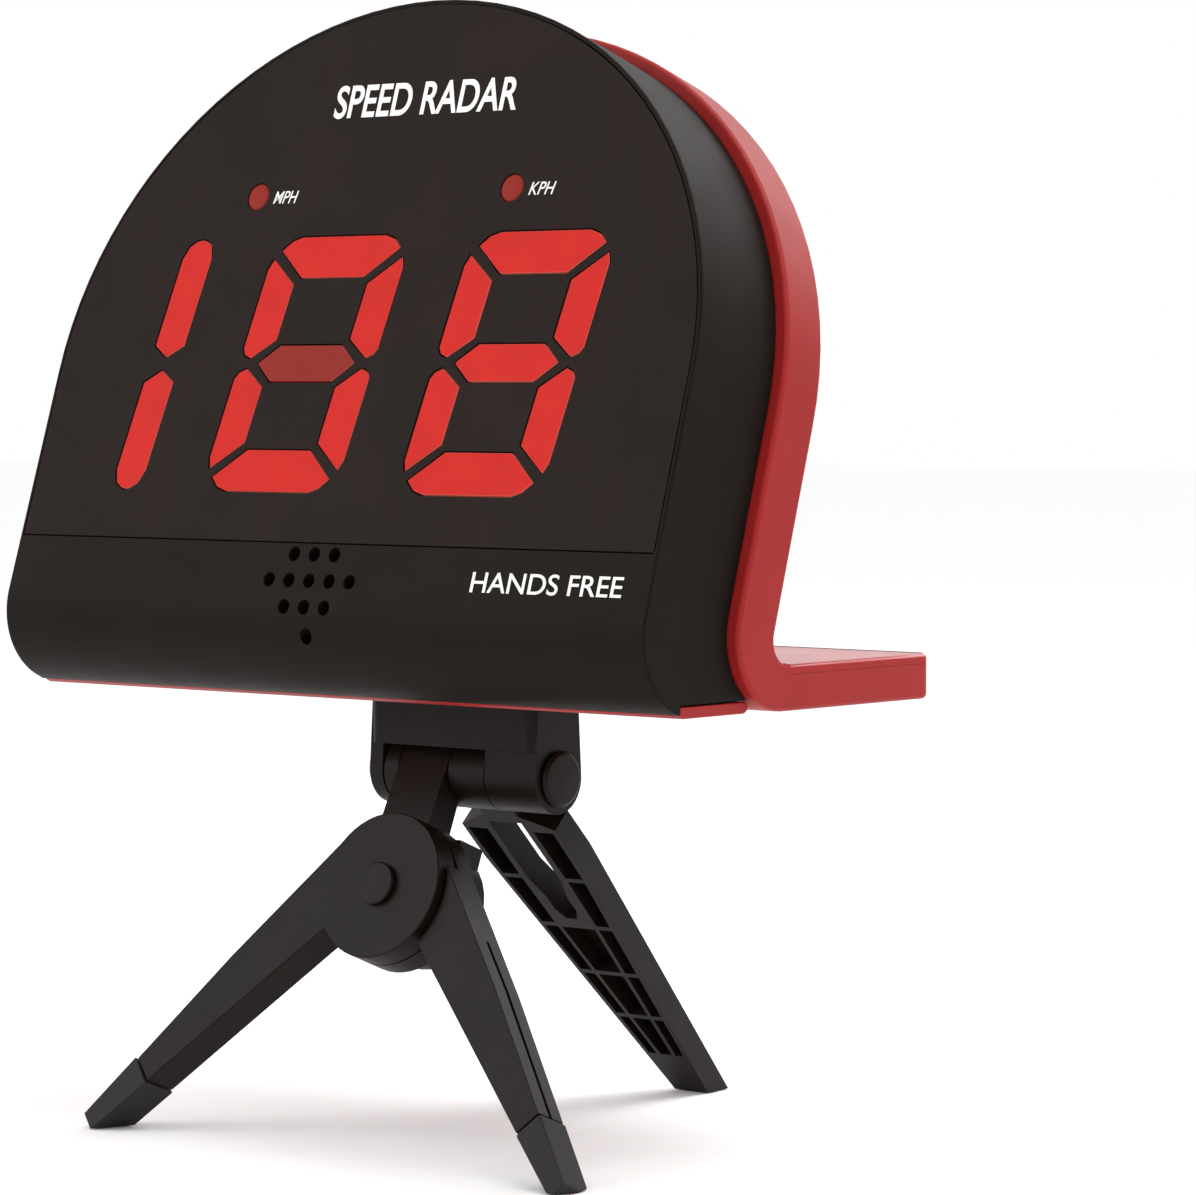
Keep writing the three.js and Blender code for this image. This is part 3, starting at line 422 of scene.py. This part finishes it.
# How wide the edges of each smaller node are rounded, in mm.
EDGE_WIDTHS = {
    "display_window": 0.12, "base_plate": 0.3, "battery_door": 0.3,
    "button_power": 0.6, "button_units": 0.6, "button_mode": 0.6,
    "tilt_block": 0.8, "tilt_washer": 0.3, "tilt_pin": 0.3, "pin_cap": 0.4, "hub": 0.6,
    "leg_left": 0.55, "leg_right": 0.55, "leg_rear": 0.35,
    "boot_left": 0.6, "boot_right": 0.6, "leg_rivet": 0.35, "tripod_insert": 0.25,
}
BIG_MOULDINGS = ("rear_cover", "foot_cover", "front_housing")


def refine_visible_nodes():
    for node, width in EDGE_WIDTHS.items():
        refined(node, width)


def paint_inner_nodes():
    for node, finish in SLOT_OF.items():
        if node not in EDGE_WIDTHS and node not in BIG_MOULDINGS:
            paint(node, finish)
    paint("speaker", "speaker_dark")


# ---------------------------------------------------------------- figures and lamps
FIGURE_NODES = ("digit_hundreds", "digit_tens", "digit_units")
FIGURE_FINISHES = ("case_black", "lamp_red", "lamp_edge", "lamp_dim")
BODY, LIT, EDGE, DIM = range(4)
FIGURE_MIDDLE = 35.55
FIGURE_EDGE = 0.45
LIT_DEPTH = 2.1
FACING_FRONT = 0.98
DIM_HALF_HEIGHT = 4.3
DIM_HALF_WIDTH = 9.5
DIM_NODE = "digit_tens"


def light_figures():
    """The bars of each figure glow, their edges a little paler, and the body behind them is black."""
    to_head = HEAD.inverted()
    turn_to_head = HEAD.to_3x3().inverted()
    for node in FIGURE_NODES:
        mesh = refined(node, FIGURE_EDGE, 1).data
        mesh.materials.clear()
        for finish in FIGURE_FINISHES:
            mesh.materials.append(MATERIALS[finish])
        middle_x = sum((to_head @ v.co).x for v in mesh.vertices) / len(mesh.vertices) / MM
        for face in mesh.polygons:
            centre = (to_head @ face.center) / MM
            beside, above = abs(centre.x - middle_x), abs(centre.z - FIGURE_MIDDLE)
            if centre.y > LIT_DEPTH:
                face.material_index = BODY
            elif node == DIM_NODE and beside < DIM_HALF_WIDTH and above < DIM_HALF_HEIGHT:
                face.material_index = DIM
            elif -(turn_to_head @ face.normal).y > FACING_FRONT:
                face.material_index = LIT
            else:
                face.material_index = EDGE


LAMP_PLACES = [("lamp_mph", -36.3), ("lamp_kph", 29.9)]
LAMP_Z = 70.5
LAMP_EDGE = 0.3
# The lens's half section: radius and depth in mm.
LENS_PROFILE = [(0, -0.12), (1.2, -0.08), (2.1, 0.0), (2.6, 0.14), (2.78, 0.35), (2.78, 0.48)]
LENS_SIDES = 40
LENS_WELD = 0.002


def placed(mesh, matrix, body):
    """A mesh shown as a piece at a place, riding a body."""
    piece = bpy.data.objects.new(mesh.name, mesh)
    SCENE.collection.objects.link(piece)
    piece.matrix_world = matrix
    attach(piece, body)
    return piece


def lens_mesh(name):
    """A shallow dome spun about y."""
    bm = bmesh.new()
    profile = [bm.verts.new(Vector((radius, depth, 0)) * MM) for radius, depth in LENS_PROFILE]
    edges = [bm.edges.new(pair) for pair in zip(profile, profile[1:])]
    bmesh.ops.spin(
        bm, geom=profile + edges, axis=(0, 1, 0), cent=(0, 0, 0), angle=2 * math.pi, steps=LENS_SIDES
    )
    bmesh.ops.remove_doubles(bm, verts=bm.verts, dist=LENS_WELD * MM)
    bmesh.ops.recalc_face_normals(bm, faces=bm.faces)
    mesh = bpy.data.meshes.new(name)
    bm.to_mesh(mesh)
    bm.free()
    for face in mesh.polygons:
        face.use_smooth = True
    mesh.materials.append(MATERIALS["lamp_dim"])
    return mesh


def make_lamps():
    """Each lamp shows a shallow domed lens that nearly fills its hole in the window."""
    for node, x in LAMP_PLACES:
        refined(node, LAMP_EDGE, 3, "lamp_dim")
        matrix = HEAD @ Matrix.Translation(Vector((x, 0, LAMP_Z)) * MM)
        placed(lens_mesh(node + "_lens"), matrix, "head")


# ---------------------------------------------------------------- printed legends
PRINT_PROUD = 0.05
PRINT_THICKNESS = 0.02
CAP_SHARE = 0.7


def printed(name, words, cap_height, slant, weight):
    """Flat pale lettering as a mesh in its own plane: x along the words, y up them, in metres."""
    data = bpy.data.curves.new(name, "FONT")
    data.body = words
    data.size = cap_height / CAP_SHARE * MM
    data.shear = slant
    data.offset = weight * MM
    data.extrude = PRINT_THICKNESS * MM
    piece = bpy.data.objects.new(name + "_text", data)
    SCENE.collection.objects.link(piece)
    graph = bpy.context.evaluated_depsgraph_get()
    mesh = bpy.data.meshes.new_from_object(piece.evaluated_get(graph))
    bpy.data.objects.remove(piece)
    mesh.name = name
    mesh.materials.clear()
    mesh.materials.append(MATERIALS["label_white"])
    return mesh


def fitted(mesh, width):
    """The lettering stretched to a width in millimetres, starting at x = 0."""
    xs = [v.co.x for v in mesh.vertices]
    low, span = min(xs), max(xs) - min(xs)
    for vertex in mesh.vertices:
        vertex.co.x = (vertex.co.x - low) / span * width * MM
    return mesh


def on_face(x, z):
    """A place on the leaning display face, lettering upright and read from the front."""
    return HEAD @ Matrix.Translation(Vector((x, -PRINT_PROUD, z)) * MM) @ Matrix.Rotation(math.pi / 2, 4, "X")


def on_back(x, z, depth):
    """A place on the leaning back, lettering upright and read from behind."""
    turn = Matrix.Rotation(math.pi, 4, "Z") @ Matrix.Rotation(math.pi / 2, 4, "X")
    return HEAD @ Matrix.Translation(Vector((x, depth + PRINT_PROUD, z)) * MM) @ turn


FRONT_LEGENDS = [
    # name, words, then in mm x, z, width and cap height, then slant, and weight in mm
    ("legend_mph", "MPH", -31.8, 68.9, 6.4, 2.6, 0.25, 0.01),
    ("legend_kph", "KPH", 34.4, 68.9, 6.4, 2.6, 0.25, 0.01),
    ("legend_title", "SPEED RADAR", -20.5, 86.4, 47.3, 6.6, 0, 0.16),
    ("legend_use", "HANDS FREE", 40.0, -8.6, 36.0, 3.9, 0, 0.03),
]


def make_legends():
    """The words of the display face, each from its left end."""
    for name, words, x, z, width, height, slant, weight in FRONT_LEGENDS:
        mesh = fitted(printed(name, words, height, slant, weight), width)
        placed(mesh, on_face(x, z), "head")


# ---------------------------------------------------------------- the back and the underside
PANEL_REAR = 34.8
BASE_LEVEL = -30.3
SCREW_FACE = PANEL_REAR - 0.7
FOOT_SCREW_FACE = BASE_LEVEL + 0.2
SCREW_PLACES = [(-70, 8), (70, 8), (-54, 80), (54, 80)]
FOOT_SCREWS = [(-72, 44), (72, 44), (-72, 74), (72, 74)]
SCREW_EDGE = 0.25
SCREW_TURN = 0.4
FOOT_SCREW_TURN = 0.5
CROSS_SPAN = 3.2
CROSS_SLOT = 0.75
CROSS_DEPTH = 0.9
# Each legend of the back: name, x, z and cap height in mm, and the body that carries it.
BACK_LEGENDS = [
    ("power", -18, 77.6, 1.9, "head"),
    ("units", 0, 77.6, 1.9, "head"),
    ("mode", 18, 77.6, 1.9, "head"),
    ("open", 0, 40.5, 2.2, "battery_door"),
]
BACK_WEIGHT = 0.02
GRIP_ROWS = 5
GRIP_LOW = 46
GRIP_PITCH = 2
GRIP_WIDTH = 18
GRIP_RIB = (0.7, 0.8)
GRIP_EDGE = 0.2
LEVEL = Matrix.Translation(SEAM)


def box(bm, centre, size):
    """A box in a mesh being built, in millimetres."""
    made = bmesh.ops.create_cube(bm, size=1)
    bmesh.ops.scale(bm, vec=Vector(size) * MM, verts=made["verts"])
    bmesh.ops.translate(bm, vec=Vector(centre) * MM, verts=made["verts"])


def cross_cut(piece, matrix):
    """A cross recess cut into a screw head; the matrix puts z out of the head."""
    bm = bmesh.new()
    box(bm, (0, 0, 0), (CROSS_SPAN, CROSS_SLOT, 2 * CROSS_DEPTH))
    box(bm, (0, 0, 0), (CROSS_SLOT, CROSS_SPAN, 2 * CROSS_DEPTH))
    mesh = bpy.data.meshes.new("cross")
    bm.to_mesh(mesh)
    bm.free()
    cutter = bpy.data.objects.new("cross", mesh)
    SCENE.collection.objects.link(cutter)
    cutter.matrix_world = matrix
    bpy.context.view_layer.update()
    modifier = piece.modifiers.new("recess", "BOOLEAN")
    modifier.object = cutter
    modifier.use_self = True
    applied(piece)
    bpy.data.objects.remove(cutter)


def make_screws():
    """Steel screws in the back and under the foot, each with its cross turned another way."""
    for index, (x, z) in enumerate(SCREW_PLACES):
        piece = refined("case_screw_%d" % (index + 1), SCREW_EDGE, 3, "steel")
        outward = Matrix.Translation(Vector((x, SCREW_FACE, z)) * MM) @ Matrix.Rotation(-math.pi / 2, 4, "X")
        cross_cut(piece, HEAD @ outward @ Matrix.Rotation(SCREW_TURN * index, 4, "Z"))
    for index, (x, y) in enumerate(FOOT_SCREWS):
        piece = refined("foot_screw_%d" % (index + 1), SCREW_EDGE, 3, "steel")
        outward = Matrix.Translation(Vector((x, y, FOOT_SCREW_FACE)) * MM)
        cross_cut(piece, LEVEL @ outward @ Matrix.Rotation(FOOT_SCREW_TURN * index, 4, "Z"))


def make_back_legends():
    """The small words of the back, each centred on its place."""
    for name, x, z, height, body in BACK_LEGENDS:
        mesh = printed("legend_" + name, name.upper(), height, 0, BACK_WEIGHT)
        middle = sum(v.co.x for v in mesh.vertices) / len(mesh.vertices)
        placed(mesh, on_back(x, z, PANEL_REAR) @ Matrix.Translation((-middle, 0, 0)), body)


def make_door_grip():
    """Ribs on the battery door for the thumb, each row shorter than the one below."""
    bm = bmesh.new()
    thick, tall = GRIP_RIB
    for row in range(GRIP_ROWS):
        centre = (0, PANEL_REAR, GRIP_LOW + GRIP_PITCH * row)
        box(bm, centre, (GRIP_WIDTH - GRIP_PITCH * row, thick, tall))
    mesh = bpy.data.meshes.new("door_grip")
    bm.to_mesh(mesh)
    bm.free()
    mesh.materials.append(MATERIALS["case_red"])
    bevelled(placed(mesh, HEAD, "battery_door"), GRIP_EDGE)


# ---------------------------------------------------------------- floor and light
FLOOR_SIZE = 12
FLOOR_DROP = 0.0002
AIM = (0, 0, 0.12)
AREA_LIGHTS = [
    # name, place and size in metres, power in watts
    ("key", (0.35, 0.1, 1.2), (0.7, 0.6), 8),
    ("front", (-0.8, -1.1, 0.6), (0.9, 0.7), 6),
    ("rear", (0.1, 1.1, 0.7), (0.9, 0.5), 3),
]


def make_floor():
    bpy.ops.mesh.primitive_plane_add(size=FLOOR_SIZE, location=(0, 0, -FLOOR_DROP))
    floor = bpy.context.object
    floor.name = "floor"
    floor.data.materials.append(MATERIALS["floor"])


def area_light(name, place, size, power):
    data = bpy.data.lights.new(name, "AREA")
    data.shape = "RECTANGLE"
    data.size, data.size_y = size
    data.energy = power
    light = bpy.data.objects.new(name, data)
    light.location = place
    light.rotation_euler = (Vector(AIM) - Vector(place)).to_track_quat("-Z", "Y").to_euler()
    SCENE.collection.objects.link(light)


def make_light():
    world = bpy.data.worlds.new("studio")
    world.use_nodes = True
    sky = world.node_tree.nodes["Background"]
    sky.inputs["Color"].default_value = (1, 1, 1, 1)
    sky.inputs["Strength"].default_value = 1.0
    SCENE.world = world
    SCENE.view_settings.view_transform = "Standard"
    for row in AREA_LIGHTS:
        area_light(*row)


make_camera()
refine_visible_nodes()
refine_foot_skin()
refine_rear_cover()
refine_front_housing()
paint_inner_nodes()
light_figures()
make_lamps()
make_legends()
make_screws()
make_door_grip()
make_back_legends()
make_floor()
make_light()
